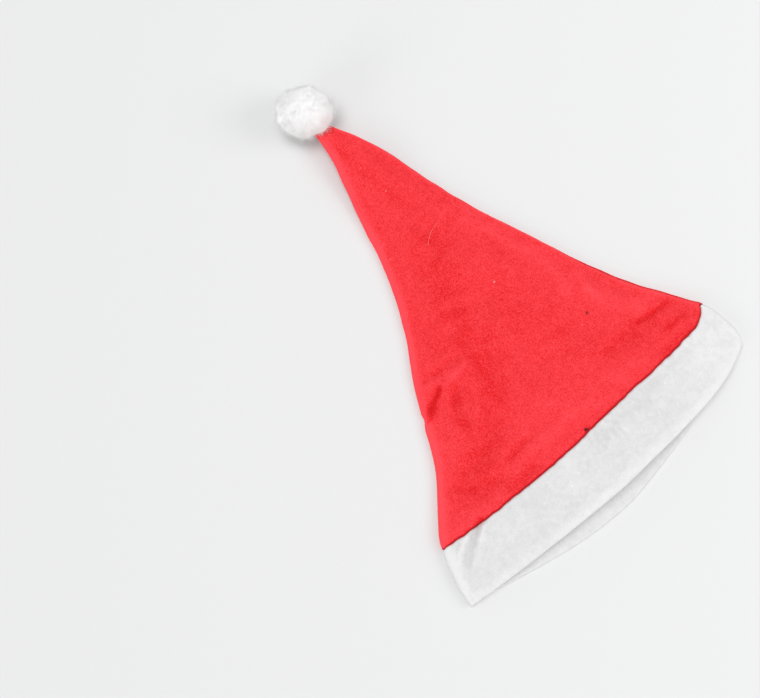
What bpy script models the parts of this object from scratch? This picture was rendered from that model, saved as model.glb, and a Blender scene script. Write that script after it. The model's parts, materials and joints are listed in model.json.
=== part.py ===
"""A felt santa hat lying flat on its side: a red crown, a white folded cuff and a fibre pompom.

The tables below are in millimetres and MM turns them into Blender's metres. X runs across the hat,
+Y from the open mouth to the tip, and +Z up from the surface that the hat lies on. Y is zero where the
seam between cuff and crown meets the two side folds. At the end everything is moved so that the origin
is the middle of the hat's bounding box, at the bottom.
"""

import math
import random
from collections import namedtuple

import bpy
import bmesh
from mathutils import Matrix, Vector

MM = 0.001

# Felt and seam
FELT = 1.5
CUFF_WALL = 2 * FELT
CLEARANCE = 0.3
ALLOWANCE = 8.0

# Stations along Y
HEM_Y = -45.5
SEAM_Y = 0.0
TIP_Y = 321.0
LIFT_FROM_Y = 215.0
TIP_LIFT = 12.5

# How finely the rings and rows are cut
OVER_STEPS = 32
UNDER_STEPS = 10
FOLD_STEPS = 4
CROWN_ROWS = 33
CUFF_ROWS = 6
HEM_STEPS = 4
CROWDING = 0.11

# How each layer's bow fades from its middle to a side fold. The upper layer's inner power is in the table.
OVER_FADE = 0.9
UNDER_LEFT = (2.0, 1.4)
UNDER_RIGHT = (1.15, 0.75)

# Folds fade out this far from the side folds, and leave this much of the hollow open
FOLD_MARGIN = 9.0
HOLLOW_LEAST = 0.6
FOLD_SAMPLES = 10

# Pompom
POMPOM_CENTRE = (15.5, 328.5)
POMPOM_WIDTH = 49.0
POMPOM_DEPTH = 43.0
POMPOM_HEIGHT = 43.0
POMPOM_TURN = math.radians(-43.0)
CORE_SHARE = 0.70
LOCKS = 46
LOCK_RADIUS = 6.4
LOCK_LENGTH = 8.8
LOCK_TAPER = 0.32
LOCK_SWEEP = 2.2
LOCK_SEED = 12
GOLDEN_ANGLE = math.pi * (3.0 - math.sqrt(5.0))
POCKET_FROM_Y = 292.0
FLOOR_BLOCK = 60.0

# One row for each section: its station, the X of both side folds, how far its upper layer bows towards
# the mouth in the middle, the powers by which that bow fades to the left and right, how far its lower
# layer bows, how high the upper layer stands and the outer radius of the side folds.
Section = namedtuple("Section", "y left right over_bow left_power right_power under_bow height fold")
SECTIONS = (
    Section(-45.5, -155.4, 141.2, 14.0, 1.2, 4.5, 26.7, 20.0, 3.6),
    Section(-38.0, -154.2, 145.4, 13.8, 1.3, 5.5, 26.4, 19.9, 3.6),
    Section(-24.0, -151.2, 146.4, 12.9, 1.6, 9.0, 25.6, 19.6, 3.6),
    Section(0.0, -141.7, 143.0, 11.0, 2.0, 14.0, 24.0, 18.6, 3.5),
    Section(8.0, -137.6, 138.0, 10.6, 2.0, 12.0, 22.8, 18.2, 3.5),
    Section(20.0, -127.5, 131.8, 10.0, 2.0, 9.0, 20.6, 17.4, 3.0),
    Section(50.0, -102.2, 114.4, 7.5, 2.0, 5.0, 14.0, 15.0, 2.5),
    Section(80.0, -85.7, 101.2, 5.0, 2.0, 3.0, 8.0, 12.6, 2.3),
    Section(110.0, -68.8, 90.3, 2.5, 2.0, 2.0, 3.6, 11.2, 2.3),
    Section(140.0, -48.4, 80.4, 0.8, 2.0, 2.0, 1.0, 10.4, 2.3),
    Section(170.0, -32.5, 69.6, 0.0, 2.0, 2.0, 0.0, 9.6, 2.3),
    Section(200.0, -20.1, 60.9, 0.0, 2.0, 2.0, 0.0, 8.8, 2.3),
    Section(230.0, -11.1, 53.5, 0.0, 2.0, 2.0, 0.0, 8.2, 2.3),
    Section(260.0, -1.3, 46.5, 0.0, 2.0, 2.0, 0.0, 7.6, 2.3),
    Section(285.0, 6.6, 37.0, 0.0, 2.0, 2.0, 0.0, 7.0, 2.3),
    Section(303.0, 9.9, 27.9, 0.0, 2.0, 2.0, 0.0, 6.4, 2.3),
    Section(321.0, 10.5, 20.8, 0.0, 2.0, 2.0, 0.0, 5.6, 2.3),
)

# One row for each fold or dent of the upper layer: the plan points where it starts, bends and ends,
# how far it rises, or sinks where negative, and how far it reaches to either side.
Fold = namedtuple("Fold", "start bend end rise reach")
FOLDS = (
    Fold((19, 262), (22, 222), (19, 182), -0.8, 8.0),
    Fold((19, 182), (9, 154), (1, 128), -1.6, 7.5),
    Fold((1, 128), (-11, 95), (-31, 59), -2.2, 8.5),
    Fold((-31, 59), (-55, 39), (-84, 31), -2.2, 8.0),
    Fold((-74, 9), (-91, 18), (-104, 29), -1.5, 5.5),
    Fold((-48, 83), (-60, 73), (-63, 57), -2.4, 4.2),
    Fold((-83, 86), (-72, 88), (-58, 90), -3.2, 4.0),
    Fold((-78, 102), (-67, 99), (-56, 98), 1.6, 4.0),
    Fold((-54, 92), (-44, 92), (-30, 93), 1.8, 3.6),
    Fold((122, 20), (107, 22), (92, 24), -2.4, 4.0),
    Fold((92, 24), (73, 23), (57, 23), -1.7, 5.5),
    Fold((92, 49), (108, 37), (124, 28), 1.2, 6.5),
    Fold((-50, -1), (-60, -3), (-71, -1), -1.2, 5.0),
    Fold((-84, -2), (-106, 3), (-129, 7), 1.2, 6.5),
    Fold((19, 6), (-10, 9), (-41, 10), 1.4, 6.0),
    Fold((58, 181), (57, 170), (53, 162), 1.1, 6.0),
    Fold((75, 102), (75, 93), (71, 82), 1.2, 6.0),
    Fold((87, 82), (84, 68), (85, 54), 1.3, 5.5),
    Fold((-118, -4), (-127, -12), (-133, -25), -2.0, 4.0),
)

# The colours that the hat shows, as linear values
RED_FELT = (0.84, 0.042, 0.053, 1.0)
WHITE_FELT = (0.80, 0.80, 0.78, 1.0)
WHITE_FIBRE = (0.86, 0.86, 0.84, 1.0)


def new_collection(name):
    collection = bpy.data.collections.new(name)
    bpy.context.scene.collection.children.link(collection)
    return collection


def new_material(name, colour, roughness):
    material = bpy.data.materials.new(name)
    material.use_nodes = True
    shader = material.node_tree.nodes["Principled BSDF"]
    shader.inputs["Base Color"].default_value = colour
    shader.inputs["Roughness"].default_value = roughness
    shader.inputs["Metallic"].default_value = 0.0
    material.diffuse_color = colour
    return material


def ease(value):
    """Zero below 0, one above 1, and level at both ends."""
    value = min(max(value, 0.0), 1.0)
    return value * value * (3.0 - 2.0 * value)


def slope_at(index, column):
    """The slope of one column of the table at a row, from its two neighbours."""
    before = SECTIONS[max(index - 1, 0)]
    after = SECTIONS[min(index + 1, len(SECTIONS) - 1)]
    return (getattr(after, column) - getattr(before, column)) / (after.y - before.y)


def section_value(y, column):
    """One column of the table at any station, on a smooth curve through its rows."""
    index = 0
    while index < len(SECTIONS) - 2 and y > SECTIONS[index + 1].y:
        index += 1
    here = SECTIONS[index]
    there = SECTIONS[index + 1]
    span = there.y - here.y
    t = (y - here.y) / span
    return (
        getattr(here, column) * (1 + 2 * t) * (1 - t) ** 2
        + slope_at(index, column) * span * t * (1 - t) ** 2
        + getattr(there, column) * t * t * (3 - 2 * t)
        + slope_at(index + 1, column) * span * t * t * (t - 1)
    )


def tip_lift(y):
    """How far the hat's underside is lifted off the surface, towards the pompom that holds the tip."""
    return TIP_LIFT * ease((y - LIFT_FROM_Y) / (TIP_Y - LIFT_FROM_Y))


def along_fold(fold, t):
    """A point of the curve that passes a fold's start, bend and end."""
    start = (1 - t) * (1 - 2 * t)
    bend = 4 * t * (1 - t)
    end = t * (2 * t - 1)
    return Vector(fold.start) * start + Vector(fold.bend) * bend + Vector(fold.end) * end


def distance_to(fold_line, point):
    """The distance from a point to the nearest piece of a fold's line."""
    nearest = math.inf
    for start, end in zip(fold_line, fold_line[1:]):
        run = end - start
        share = min(max((point - start).dot(run) / run.length_squared, 0.0), 1.0)
        nearest = min(nearest, (point - start - run * share).length)
    return nearest


FOLD_LINES = [[along_fold(fold, i / FOLD_SAMPLES) for i in range(FOLD_SAMPLES + 1)] for fold in FOLDS]


def folded(x, y):
    """The height that the folds and dents add to the upper layer at a plan point."""
    point = Vector((x, y))
    rise = 0.0
    for fold, line in zip(FOLDS, FOLD_LINES):
        distance = distance_to(line, point)
        if distance < 3 * fold.reach:
            rise += fold.rise * math.exp(-((distance / fold.reach) ** 2))
    return rise


def crowded(share):
    """A place across a layer from -1 to 1, for even shares, that comes closer towards both ends."""
    return share + CROWDING * math.sin(math.pi * share)


def faded(u, inner, outer):
    """One in a layer's middle and zero at its side folds."""
    return (1 - abs(u) ** inner) ** outer


def over_point(y, u, inset):
    """A point of the upper layer, with u from -1 at the left side fold to 1 at the right."""
    fold = section_value(y, "fold")
    left = section_value(y, "left") + fold
    right = section_value(y, "right") - fold
    x = (left + right) / 2 + u * (right - left) / 2
    power = section_value(y, "left_power" if u < 0 else "right_power")
    bow = section_value(y, "over_bow") * faded(u, power, OVER_FADE)
    edge = min(x - left, right - x)
    swell = (section_value(y, "height") - 2 * fold) * (1 - u * u)
    swell += folded(x, y - bow) * ease(edge / FOLD_MARGIN)
    least = HOLLOW_LEAST * ease(edge / FOLD_MARGIN)
    return Vector((x, y - bow, tip_lift(y) + 2 * fold + max(swell, least) - inset))


def under_point(y, u, inset):
    """A point of the lower layer, which lies flat."""
    fold = section_value(y, "fold")
    left = section_value(y, "left") + fold
    right = section_value(y, "right") - fold
    x = (left + right) / 2 + u * (right - left) / 2
    bow = section_value(y, "under_bow") * faded(u, *(UNDER_LEFT if u < 0 else UNDER_RIGHT))
    return Vector((x, y - bow, tip_lift(y) + inset))


def side_point(y, side, angle, inset):
    """A point of a side fold's half round, with side -1 at the left and 1 at the right."""
    fold = section_value(y, "fold")
    outermost = section_value(y, "left" if side < 0 else "right")
    middle = outermost - side * fold
    radius = fold - inset
    return Vector(
        (middle + side * radius * math.cos(angle), y, tip_lift(y) + fold + radius * math.sin(angle))
    )


def ring(y, inset=0.0):
    """The closed line round the hat at a station, set in from the outer face."""
    points = [over_point(y, crowded(2 * i / OVER_STEPS - 1), inset) for i in range(OVER_STEPS + 1)]
    for i in range(1, FOLD_STEPS):
        points.append(side_point(y, 1, math.pi * (0.5 - i / FOLD_STEPS), inset))
    points += [under_point(y, crowded(1 - 2 * i / UNDER_STEPS), inset) for i in range(UNDER_STEPS + 1)]
    for i in range(1, FOLD_STEPS):
        points.append(side_point(y, -1, math.pi * (i / FOLD_STEPS - 0.5), inset))
    return points


def loft(name, rings, closed, material, collection):
    """An object with faces between neighbouring rings. A closed loft joins its last ring to its first,
    and any other has a cap on both."""
    mesh = bmesh.new()
    loops = [[mesh.verts.new(point * MM) for point in points] for points in rings]
    pairs = list(zip(loops, loops[1:]))
    if closed:
        pairs.append((loops[-1], loops[0]))
    else:
        mesh.faces.new(loops[0])
        mesh.faces.new(loops[-1])
    for one, other in pairs:
        for i in range(len(one)):
            j = (i + 1) % len(one)
            mesh.faces.new((one[i], one[j], other[j], other[i]))
    bmesh.ops.recalc_face_normals(mesh, faces=mesh.faces)
    return finished(name, mesh, material, collection)


def finished(name, mesh, material, collection):
    """The smooth object that holds a bmesh."""
    data = bpy.data.meshes.new(name)
    mesh.to_mesh(data)
    mesh.free()
    data.shade_smooth()
    part = bpy.data.objects.new(name, data)
    collection.objects.link(part)
    if material is not None:
        data.materials.append(material)
    return part


def steps(start, end, count):
    return [start + (end - start) * i / count for i in range(count + 1)]


def crown(collection, material):
    """One layer of felt, from the tip down its inner face, round the mouth and back up its outer face."""
    inner = [ring(y, FELT) for y in steps(TIP_Y - FELT, SEAM_Y + ALLOWANCE, CROWN_ROWS)]
    outer = [ring(y) for y in steps(SEAM_Y + ALLOWANCE, TIP_Y, CROWN_ROWS)]
    mouth = [ring(SEAM_Y, FELT), ring(SEAM_Y)]
    return loft("crown", inner + mouth + outer, False, material, collection)


def cuff(collection, material):
    """A doubled strip, round at the hem, whose inner layer runs on inside the crown as the allowance."""
    hem_round = CUFF_WALL / 2
    seam = SEAM_Y - CLEARANCE
    rings = [ring(y) for y in steps(seam, HEM_Y + hem_round, CUFF_ROWS)]
    for i in range(1, HEM_STEPS):
        angle = math.pi * i / HEM_STEPS
        y = HEM_Y + hem_round * (1 - math.sin(angle))
        rings.append(ring(y, hem_round * (1 - math.cos(angle))))
    rings += [ring(y, CUFF_WALL) for y in steps(HEM_Y + hem_round, SEAM_Y, CUFF_ROWS)]
    rings.append(ring(SEAM_Y + ALLOWANCE, CUFF_WALL))
    rings.append(ring(SEAM_Y + ALLOWANCE, FELT + CLEARANCE))
    rings.append(ring(seam, FELT + CLEARANCE))
    return loft("cuff", rings, True, material, collection)


def lock(mesh, direction, reach, chance):
    """One tuft of fibre: a ball drawn out along its direction, narrower and swept at its outer end."""
    turn = direction.to_track_quat("Z", "X")
    sweep = chance.uniform(0.0, 2.0 * math.pi)
    width = LOCK_RADIUS * chance.uniform(0.85, 1.15)
    made = bmesh.ops.create_icosphere(mesh, subdivisions=2, radius=1.0)
    for vert in made["verts"]:
        outward = (vert.co.z + 1.0) / 2.0
        narrow = width * (1.0 + LOCK_TAPER - 2.0 * LOCK_TAPER * outward)
        aside = LOCK_SWEEP * outward * outward
        vert.co = Vector(
            (
                vert.co.x * narrow + aside * math.cos(sweep),
                vert.co.y * narrow + aside * math.sin(sweep),
                reach + LOCK_LENGTH * (vert.co.z - 1.0),
            )
        )
        vert.co = turn @ vert.co


def pompom(collection, cutters, material):
    """A core with locks of fibre all over it, a pocket for the crown's tip and a flat where it rests."""
    half = Vector((POMPOM_WIDTH, POMPOM_DEPTH, POMPOM_HEIGHT)) / 2
    place = Matrix.Translation((*POMPOM_CENTRE, half.z)) @ Matrix.Rotation(POMPOM_TURN, 4, "Z")
    core = bmesh.new()
    bmesh.ops.create_icosphere(core, subdivisions=2, radius=1.0)
    bmesh.ops.scale(core, vec=half * CORE_SHARE, verts=core.verts)
    bmesh.ops.transform(core, matrix=Matrix.Scale(MM, 4) @ place, verts=core.verts)
    ball = finished("pompom", core, material, collection)

    chance = random.Random(LOCK_SEED)
    tufts = bmesh.new()
    for i in range(LOCKS):
        up = 1.0 - 2.0 * (i + 0.5) / LOCKS
        flat = math.sqrt(1.0 - up * up)
        turn = GOLDEN_ANGLE * i
        direction = Vector((flat * math.cos(turn), flat * math.sin(turn), up))
        reach = Vector((direction.x * half.x, direction.y * half.y, direction.z * half.z)).length
        lock(tufts, direction, reach * chance.uniform(0.95, 1.04), chance)
    bmesh.ops.transform(tufts, matrix=Matrix.Scale(MM, 4) @ place, verts=tufts.verts)
    locks = finished("pompom_locks", tufts, None, cutters)

    pocket_rings = [ring(y, -CLEARANCE) for y in steps(POCKET_FROM_Y, TIP_Y + CLEARANCE, 6)]
    pocket = loft("pompom_pocket", pocket_rings, False, None, cutters)

    block = bmesh.new()
    bmesh.ops.create_cube(block, size=FLOOR_BLOCK)
    shift = Vector((*POMPOM_CENTRE, -FLOOR_BLOCK / 2))
    bmesh.ops.translate(block, vec=shift, verts=block.verts)
    bmesh.ops.scale(block, vec=Vector((MM, MM, MM)), verts=block.verts)
    floor = finished("pompom_floor", block, None, cutters)

    for other, operation in ((locks, "UNION"), (pocket, "DIFFERENCE"), (floor, "DIFFERENCE")):
        step = ball.modifiers.new(other.name, "BOOLEAN")
        step.operation = operation
        step.object = other
        step.solver = "EXACT"
        step.use_self = operation == "UNION"
        other.hide_render = True
        other.display_type = "WIRE"
    return ball


def stand_on_origin(parts, name, collection):
    """Parents the parts to an empty that puts the bottom middle of their common box at the origin."""
    bpy.context.view_layer.update()
    graph = bpy.context.evaluated_depsgraph_get()
    corners = []
    for part in parts:
        data = part.evaluated_get(graph).data
        corners += [part.matrix_world @ vert.co for vert in data.vertices]
    low = [min(corner[axis] for corner in corners) for axis in range(3)]
    high = [max(corner[axis] for corner in corners) for axis in range(3)]
    holder = bpy.data.objects.new(name, None)
    collection.objects.link(holder)
    holder.location = (-(low[0] + high[0]) / 2, -(low[1] + high[1]) / 2, -low[2])
    return holder


def main():
    for old in list(bpy.data.objects):
        bpy.data.objects.remove(old, do_unlink=True)
    collection = new_collection("santa_hat")
    cutters = new_collection("santa_hat_cutters")
    red = new_material("red_felt", RED_FELT, 0.95)
    white = new_material("white_felt", WHITE_FELT, 0.95)
    fibre = new_material("white_fibre", WHITE_FIBRE, 1.0)
    parts = [
        crown(collection, red),
        cuff(collection, white),
        pompom(collection, cutters, fibre),
    ]
    holder = stand_on_origin(parts, "santa_hat", collection)
    for piece in parts + list(cutters.objects):
        piece.parent = holder


main()
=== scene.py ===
"""The looks of a felt santa hat that lies flat on its side: red crown, doubled white cuff, fibre pompom.

The tables are in millimetres, in the hat's own frame: X across, +Y from the mouth to the tip, +Z up and
Y zero where the seam meets the side folds. hat_to_frame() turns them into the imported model's metres.
"""

import json
import math

import bpy
import numpy as np
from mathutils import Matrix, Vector

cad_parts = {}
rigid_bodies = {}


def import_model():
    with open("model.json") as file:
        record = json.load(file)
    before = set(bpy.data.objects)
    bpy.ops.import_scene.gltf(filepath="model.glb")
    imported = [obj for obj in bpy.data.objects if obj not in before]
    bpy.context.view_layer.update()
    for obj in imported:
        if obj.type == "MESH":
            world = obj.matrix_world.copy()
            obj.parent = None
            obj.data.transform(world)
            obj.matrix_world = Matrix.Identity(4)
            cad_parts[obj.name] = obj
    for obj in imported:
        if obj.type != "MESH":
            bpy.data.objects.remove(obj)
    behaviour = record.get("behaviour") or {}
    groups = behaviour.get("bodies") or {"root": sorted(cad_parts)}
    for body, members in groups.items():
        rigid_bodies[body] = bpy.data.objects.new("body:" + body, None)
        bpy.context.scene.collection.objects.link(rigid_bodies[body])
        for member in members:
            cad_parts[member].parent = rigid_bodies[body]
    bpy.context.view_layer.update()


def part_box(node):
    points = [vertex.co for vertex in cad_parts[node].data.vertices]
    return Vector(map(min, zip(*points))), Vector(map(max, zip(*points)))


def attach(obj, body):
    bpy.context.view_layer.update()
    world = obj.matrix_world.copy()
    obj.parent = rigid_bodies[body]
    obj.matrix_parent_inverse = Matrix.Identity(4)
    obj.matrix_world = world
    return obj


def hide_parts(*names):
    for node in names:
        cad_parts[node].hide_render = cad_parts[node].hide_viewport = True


MM = 0.001

# Felt, seam and stations, as the solids have them
FELT = 1.5
CUFF_WALL = 2 * FELT
ALLOWANCE = 8.0
HEM_Y = -45.5
TIP_Y = 321.0
LIFT_FROM_Y = 215.0
TIP_LIFT = 12.5

# Points round a ring: the upper layer, the sewn edge, the lower layer and the folded edge. Their sum is
# a multiple of COARSE, because the crown's inner face keeps one point in COARSE.
OVER_POINTS = 265
EDGE_POINTS = 11
UNDER_POINTS = 97
COARSE = 4
ROW_STEP = 1.62

# The sewn edge: how far the lower layer's lip stands out past the upper one
LIP_MOST = 2.3
LIP_LEAST = 0.9
LIP_UNTIL_Y = 125.0

# How far from the side folds the large folds and the small lumps fade out
FOLD_MARGIN = 7.0
LUMP_MARGIN = 2.0
SHOULDER = 12.0
HOLLOW_LEAST = 0.6

# The rounded edges that the seam pulls into a groove, and the red tongue that closes its bottom
CROWN_ROLL = 1.1
CUFF_ROLL = 1.7
GROOVE_DEPTH = 1.38
SEAM_GAP = 0.3
TONGUE_END = -0.7
TONGUE_INSETS = (1.50, 1.66)

# How far the side folds stray from an even line, and the notch in the left one
EDGE_STRAY = 0.13
NOTCH_Y = 82.0
NOTCH_DEPTH = 1.5
NOTCH_REACH = 3.5

# The crown's swelling beside the seam, the turn of the hem, and the cuff's lift over the allowance, sag in
# its middle and swelling at the hem, each with its height, station and reach
SEAM_SWELL = 1.1
SEAM_SWELL_REACH = 7.0
HEM_RADIUS = 1.75
CUFF_LUMPS = (
    (0.3, -9.0, 5.0),
    (-0.7, -24.0, 11.0),
    (0.9, HEM_Y + 4.0, 6.0),
)

# The least height of a fibre over the floor, and the lengths of the nap and the angles at which it rises
FLOOR_GAP = 0.1
NAP_LENGTHS = (0.7, 1.9)
NAP_RISE = (0.1, 0.6)

# The stitches that hold the allowance, inside the mouth
STITCH_Y = 4.0
STITCH_PITCH = 3.2
STITCH_LENGTH = 2.6
STITCH_WIDTH = 0.55
STITCH_SIDES = 6
STITCH_RINGS = 6

# Pompom
POMPOM_CENTRE = (16.2, 327.4)
POMPOM_WIDTH = 49.0
POMPOM_DEPTH = 43.0
POMPOM_HEIGHT = 43.0
POMPOM_TURN = math.radians(-43.0)
CLUMPS = 46
PACKED_SHARE = 0.91
LOCK_RISE = 0.05
LOCK_REACH = 0.34
GOLDEN_ANGLE = math.pi * (3.0 - math.sqrt(5.0))

# Camera and the photo's frame
CAMERA_AIM = (-69.1, 147.8)
CAMERA_AZIMUTH = math.radians(-43.0)
CAMERA_ELEVATION = math.radians(78.0)
CAMERA_DISTANCE = 1.0
CAMERA_LENS = 60.0

# The lamp at the picture's right, in metres and watts, and the floor's side in metres
WINDOW_PLACE = (1.46, -1.36, 1.5)
WINDOW_POWER = 17.0
WINDOW_SIZE = 1.4
FLOOR_SIZE = 40.0

# The even light from all round, and each sun's name, direction, strength and spread in degrees
WORLD_STRENGTH = 0.51
SUNS = (
    ("key", (-0.15, 0.12, 1.0), 1.45, 35.0),
    ("rake", (-1.0, -0.10, 0.40), 0.54, 30.0),
)

# The noises in a felt: scale, detail, roughness, and the range of values that is spread out
FELT_NOISES = {
    "broad": (90.0, 3.0, 0.65, 0.3, 0.7),
    "blotches": (230.0, 2.0, 0.6, 0.36, 0.64),
    "matted": (760.0, 2.0, 0.8, 0.42, 0.56),
    "fine": (1250.0, 0.0, 0.5, 0.44, 0.56),
    "flecks": (260.0, 2.0, 0.5, 0.74, 0.80),
}

# Tones between which a felt's colour turns to painted shade, the dark of grooves and creases
PAINTED_GROOVE_TONES = (-1.6, -6.0)

# One row for each section of the hat, as in the solids
SECTION_COLUMNS = (
    "y",
    "left",
    "right",
    "over_bow",
    "left_power",
    "right_power",
    "under_bow",
    "height",
    "fold",
)
SECTIONS = np.array(
    (
        (-45.5, -155.4, 141.2, 14.0, 1.2, 4.5, 26.7, 20.0, 3.6),
        (-38.0, -154.2, 145.4, 13.8, 1.3, 5.5, 26.4, 19.9, 3.6),
        (-24.0, -151.2, 146.4, 12.9, 1.6, 9.0, 25.6, 19.6, 3.6),
        (0.0, -141.7, 143.0, 11.0, 2.0, 14.0, 24.0, 18.6, 3.5),
        (8.0, -137.6, 138.0, 10.6, 2.0, 12.0, 22.8, 18.2, 3.5),
        (20.0, -127.5, 131.8, 10.0, 2.0, 9.0, 20.6, 17.4, 3.0),
        (50.0, -102.2, 114.4, 7.5, 2.0, 5.0, 14.0, 15.0, 2.5),
        (80.0, -85.7, 101.2, 5.0, 2.0, 3.0, 8.0, 12.6, 2.3),
        (110.0, -68.8, 90.3, 2.5, 2.0, 2.0, 3.6, 11.2, 2.3),
        (140.0, -48.4, 80.4, 0.8, 2.0, 2.0, 1.0, 10.4, 2.3),
        (170.0, -32.5, 69.6, 0.0, 2.0, 2.0, 0.0, 9.6, 2.3),
        (200.0, -20.1, 60.9, 0.0, 2.0, 2.0, 0.0, 8.8, 2.3),
        (230.0, -11.1, 53.5, 0.0, 2.0, 2.0, 0.0, 8.2, 2.3),
        (260.0, -1.3, 46.5, 0.0, 2.0, 2.0, 0.0, 7.6, 2.3),
        (285.0, 6.6, 37.0, 0.0, 2.0, 2.0, 0.0, 7.0, 2.3),
        (303.0, 9.9, 27.9, 0.0, 2.0, 2.0, 0.0, 6.4, 2.3),
        (321.0, 10.5, 20.8, 0.0, 2.0, 2.0, 0.0, 5.6, 2.3),
    )
)

# One row for each fold, dent or shaded patch of the upper layer: the plan points where it starts, bends
# and ends, how far it rises or sinks, how far it reaches to either side, and its tone: below zero painted
# shade in valleys, creases and dark patches, above zero painted highlight on ridges and light patches
FOLDS = (
    ((19, 262), (22, 222), (19, 182), -0.8, 8.0, -0.15),
    ((19, 182), (9, 154), (1, 128), -1.6, 7.5, -0.6),
    ((1, 128), (-11, 95), (-31, 59), -2.2, 8.5, -0.55),
    ((-31, 59), (-55, 39), (-84, 31), -2.2, 8.0, -0.6),
    ((-74, 9), (-91, 18), (-104, 29), -1.5, 5.5, -0.9),
    ((-48, 83), (-60, 73), (-63, 57), -2.4, 4.2, -1.1),
    ((-63, 57), (-65, 48), (-63, 41), -1.2, 5.0, -0.7),
    ((-84, 83), (-73, 86), (-57, 92), -2.8, 2.1, -2.4),
    ((-86, 80), (-80, 82), (-73, 85), -1.2, 4.0, -2.8),
    ((-52, 89), (-54, 80), (-61, 66), -0.6, 6.0, -0.9),
    ((19, 182), (2, 150), (-12, 118), 0.0, 17.0, -0.75),
    ((-12, 118), (-20, 85), (-38, 55), 0.0, 19.0, -0.8),
    ((-38, 55), (-60, 36), (-92, 24), 0.0, 15.0, -0.75),
    ((41, 61), (30, 94), (32, 120), 0.0, 16.0, -0.35),
    ((54, 174), (66, 140), (76, 104), 0.0, 7.0, 0.7),
    ((100, 31), (94, 48), (86, 62), 0.0, 8.0, 0.7),
    ((122, 4), (113, 4), (102, 5), -0.2, 3.2, -1.3),
    ((-42, 42), (-10, 22), (63, -3), 0.0, 9.0, 0.3),
    ((-80, 68), (-95, 45), (-124, 15), 0.0, 9.0, 0.35),
    ((-78, 102), (-67, 99), (-56, 98), 1.6, 4.0, 0.8),
    ((-54, 92), (-44, 92), (-30, 93), 1.8, 3.6, 1.0),
    ((-53, 103), (-44, 103), (-31, 102), -1.5, 2.8, -0.7),
    ((122, 20), (107, 22), (92, 24), -2.4, 2.8, -1.7),
    ((92, 24), (73, 23), (57, 23), -1.7, 5.5, -1.0),
    ((103, 16), (87, 17), (69, 19), -0.8, 5.0, -0.6),
    ((92, 49), (108, 37), (124, 28), 1.2, 6.5, 0.5),
    ((117, -8), (101, -8), (89, -7), -0.4, 4.0, -0.8),
    ((-38, 17), (-47, 17), (-59, 16), -1.3, 3.6, -0.8),
    ((-50, -1), (-60, -3), (-71, -1), -1.2, 5.0, -0.8),
    ((-84, -2), (-106, 3), (-129, 7), 1.2, 6.5, 0.7),
    ((19, 6), (-10, 9), (-41, 10), 1.4, 6.0, 0.6),
    ((0, 8), (-4, 9), (-6, 10), 0.3, 4.0, 0.6),
    ((70, 1), (39, 3), (11, 8), 0.6, 8.0, 0.4),
    ((58, 181), (57, 170), (53, 162), 1.1, 6.0, 0.7),
    ((75, 102), (75, 93), (71, 82), 1.2, 6.0, 0.8),
    ((87, 82), (84, 68), (85, 54), 1.3, 5.5, 0.9),
    ((55, 157), (56, 151), (55, 140), -1.0, 5.0, -0.4),
    ((-34, 78), (-43, 65), (-50, 59), 0.9, 3.6, 0.4),
    ((22, 108), (22, 74), (51, 36), 0.0, 14.0, -0.3),
    ((-34, 145), (-34, 134), (-34, 117), -0.4, 9.5, -0.35),
    ((15, 286), (17, 281), (17, 275), 0.0, 4.5, -0.5),
    ((19, 259), (20, 253), (22, 245), 0.0, 6.0, -0.6),
    ((23, 231), (25, 225), (26, 217), 0.0, 7.5, -0.4),
    ((14, 186), (13, 182), (12, 179), 0.0, 3.2, -0.8),
    ((-109, 21), (-101, 13), (-87, 6), 0.0, 6.3, -0.5),
    ((20, 166), (14, 164), (8, 161), 0.3, 1.6, 0.7),
    ((-105, -3), (-117, -8), (-135, -20), -2.6, 2.6, -1.5),
    ((-107, -9), (-113, -12), (-120, -17), 1.2, 2.6, 1.2),
    ((-122, -5), (-131, -9), (-139, -15), 1.2, 3.2, 1.2),
    ((-66, -20), (-74, -32), (-80, -50), -0.6, 5.0, -0.2),
    ((2, -18), (30, -20), (60, -20), -0.3, 7.0, -0.7),
    ((60, -17), (85, -18), (108, -16), -0.3, 6.0, -0.6),
)

# How strongly waves break up the broad patches of painted shade and painted highlight
TONE_BREAKS = 0.25

# Painted highlight along the folded edge and on the sewn edge's upper rim, painted shade in its groove,
# on its lower lip and beside the cuff's seam, the darkest the painted shade may make the crown's seam and
# the cuff, and the painted light on the cuff's inner layer. The strips, and the reach of the corner where
# the sewn edge's tones fade out, are in millimetres.
LEFT_HIGHLIGHT = 2.6
LEFT_STRIP = 3.4
RIM_HIGHLIGHT = 1.0
RIM_STRIP = 1.2
GROOVE_SHADE = -6.0
LIP_SHADE = -0.9
SEAM_SHADE = -6.5
DARKEST_SHADE = -4.5
SEAM_STRIP = 0.9
CORNER_REACH = 5.0
CUFF_DARKEST_SHADE = -1.5
LINING_LIGHT = 0.6

# One row for each broad run of waves in the felt: their length, height and seed
WAVES = (
    (52.0, 0.50, 3),
    (17.0, 0.17, 4),
    (7.5, 0.07, 5),
    (4.0, 0.04, 6),
)


def clear_scene():
    for old in list(bpy.data.objects):
        bpy.data.objects.remove(old, do_unlink=True)


def ease(value):
    """Zero below 0, one above 1, and level at both ends."""
    value = np.clip(value, 0.0, 1.0)
    return value * value * (3.0 - 2.0 * value)


def bell(distance, reach):
    """One at no distance, and less and less further away."""
    return np.exp(-((distance / reach) ** 2))


def section_slopes():
    """The slope of each column at each row, from its two neighbours."""
    y = SECTIONS[:, 0]
    before = np.maximum(np.arange(len(y)) - 1, 0)
    after = np.minimum(np.arange(len(y)) + 1, len(y) - 1)
    return (SECTIONS[after] - SECTIONS[before]) / (y[after] - y[before])[:, None]


SLOPES = section_slopes()


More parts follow.
